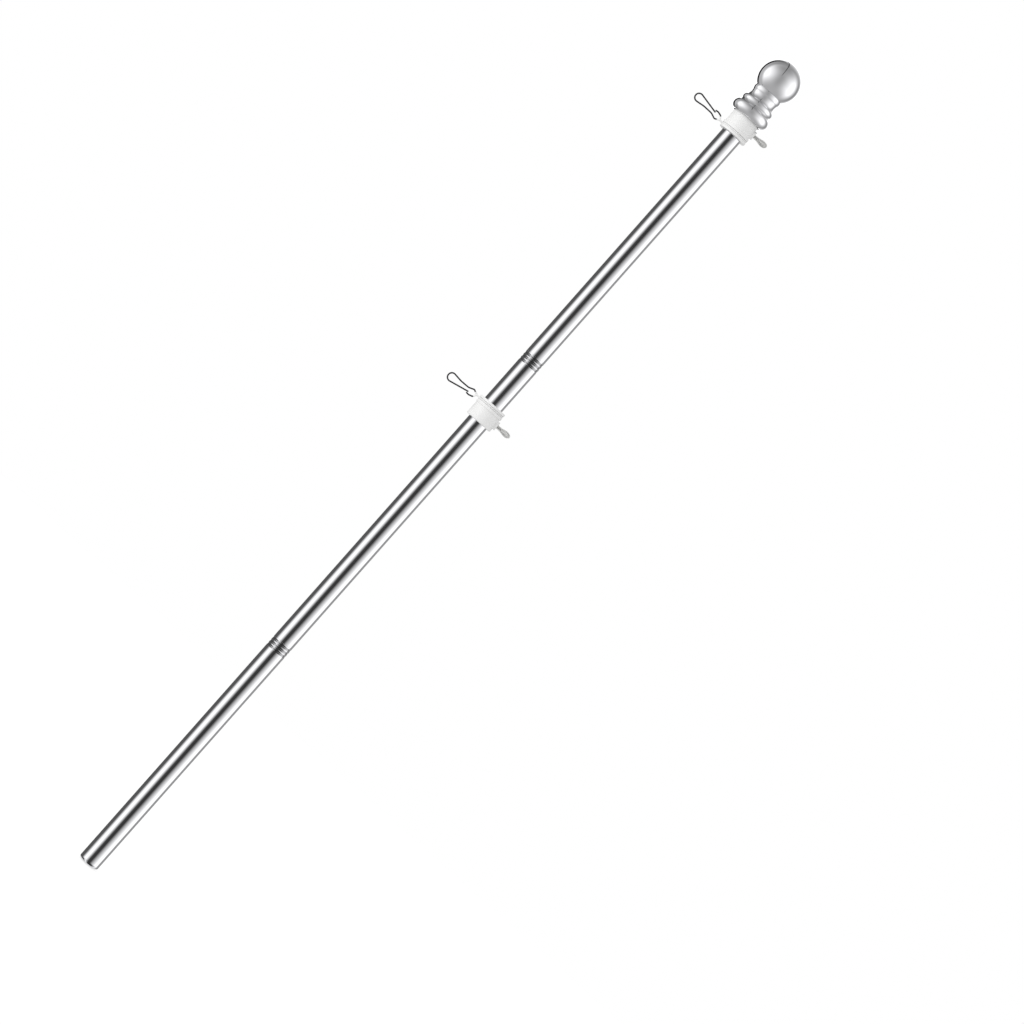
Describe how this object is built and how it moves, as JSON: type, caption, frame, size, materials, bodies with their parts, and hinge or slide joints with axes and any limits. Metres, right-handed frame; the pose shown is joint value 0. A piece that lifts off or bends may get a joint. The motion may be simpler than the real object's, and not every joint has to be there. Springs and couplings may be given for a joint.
{
  "type": "flagpole",
  "caption": "Sectional house flagpole in polished tube, with a ball finial and two swivelling clip collars, for carrying a flag from a wall bracket.",
  "frame": {"origin": "centre of the flat at the bottom end of the pole", "axes": "+Z along the pole to the finial, -X towards the wire clips at rest, +X towards the thumb screws"},
  "size_m": [0.0989, 0.05, 1.1932],
  "materials": {
    "polished_steel": "polished stainless steel",
    "satin_chrome": "satin chrome plate",
    "white_nylon": "moulded white nylon",
    "spring_wire": "drawn stainless wire",
    "screw_steel": "nickel plated steel",
    "insert_alloy": "turned alloy"
  },
  "bodies": {
    "pole": {"end_plug": "polished_steel", "bottom_tube": "polished_steel", "middle_tube": "polished_steel", "top_tube": "polished_steel", "joint_1_socket": "insert_alloy", "joint_1_stud": "insert_alloy", "joint_2_socket": "insert_alloy", "joint_2_stud": "insert_alloy", "top_insert": "insert_alloy", "finial_stud": "screw_steel", "finial_base": "satin_chrome", "finial_ball": "satin_chrome"},
    "lower_collar": {"lower_collar": "white_nylon"},
    "lower_screw": {"lower_thumb_screw": "screw_steel"},
    "lower_clip": {"lower_clip_wire": "spring_wire"},
    "lower_gate": {"lower_clip_gate": "spring_wire"},
    "upper_collar": {"upper_collar": "white_nylon"},
    "upper_screw": {"upper_thumb_screw": "screw_steel"},
    "upper_clip": {"upper_clip_wire": "spring_wire"},
    "upper_gate": {"upper_clip_gate": "spring_wire"}
  },
  "joints": [
    {"name": "lower_collar_slide", "type": "slide", "parent": "pole", "child": "lower_collar", "axis": [0, 0, 1], "range_m": [-0.64, 0.025]},
    {"name": "lower_clip_swivel", "type": "hinge", "parent": "lower_collar", "child": "lower_clip", "pos_m": [0, 0, 0.68185], "axis": [0, 0, 1], "continuous": true},
    {"name": "lower_gate_squeeze", "type": "hinge", "parent": "lower_clip", "child": "lower_gate", "pos_m": [-0.053, -0.00108, 0.67377], "axis": [0, -1, 0], "range_deg": [0, 12], "stiffness_Nm_per_rad": 0.1},
    {"name": "lower_screw_turn", "type": "hinge", "parent": "lower_collar", "child": "lower_screw", "pos_m": [0.0196, 0, 0.6703], "axis": [1, 0, 0], "range_deg": [0, 360]},
    {"name": "upper_collar_slide", "type": "slide", "parent": "pole", "child": "upper_collar", "axis": [0, 0, 1], "range_m": [-0.37, 0]},
    {"name": "upper_clip_swivel", "type": "hinge", "parent": "upper_collar", "child": "upper_clip", "pos_m": [0, 0, 1.09245], "axis": [0, 0, 1], "continuous": true},
    {"name": "upper_gate_squeeze", "type": "hinge", "parent": "upper_clip", "child": "upper_gate", "pos_m": [-0.053, 0.00108, 1.10053], "axis": [0, 1, 0], "range_deg": [0, 12], "stiffness_Nm_per_rad": 0.1},
    {"name": "upper_screw_turn", "type": "hinge", "parent": "upper_collar", "child": "upper_screw", "pos_m": [0.0196, 0, 1.104], "axis": [1, 0, 0], "range_deg": [0, 360]}
  ]
}
